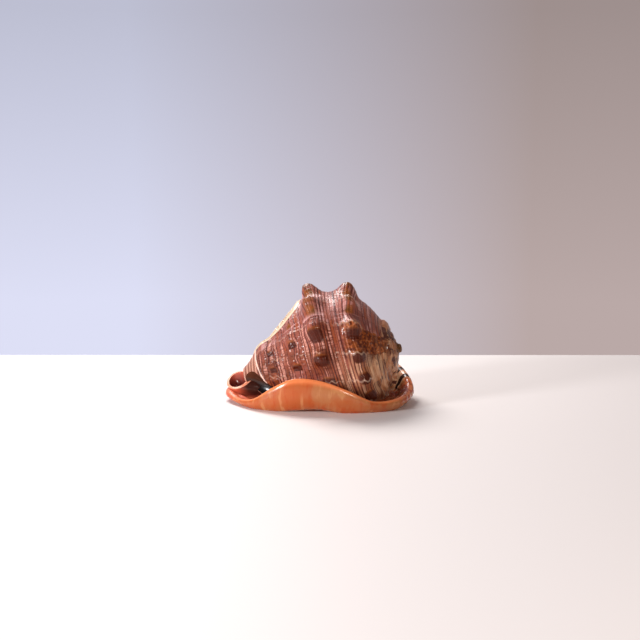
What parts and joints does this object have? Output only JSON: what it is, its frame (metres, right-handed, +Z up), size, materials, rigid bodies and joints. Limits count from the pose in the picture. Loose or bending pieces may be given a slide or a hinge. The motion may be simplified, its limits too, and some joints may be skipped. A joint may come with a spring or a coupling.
{
  "type": "carved cameo shell",
  "caption": "Knobbed helmet shell lying on its mouth, with a flared glossy shield, rolled toothed lip, upturned front canal and a carved oval medallion on its back.",
  "frame": {"origin": "middle of the shell's footprint box, on the surface it rests on", "axes": "+X towards the apex of the spire, -X towards the front canal, -Y towards the side with the raised shield, +Y towards the rolled outer lip, +Z up"},
  "size_m": [0.148, 0.117, 0.0938],
  "materials": {
    "shell": "glossy polished shell: mauve-brown knobbed back, orange shield and lip, cream carved relief"
  },
  "bodies": {
    "root": {"shell": "shell"}
  },
  "joints": []
}
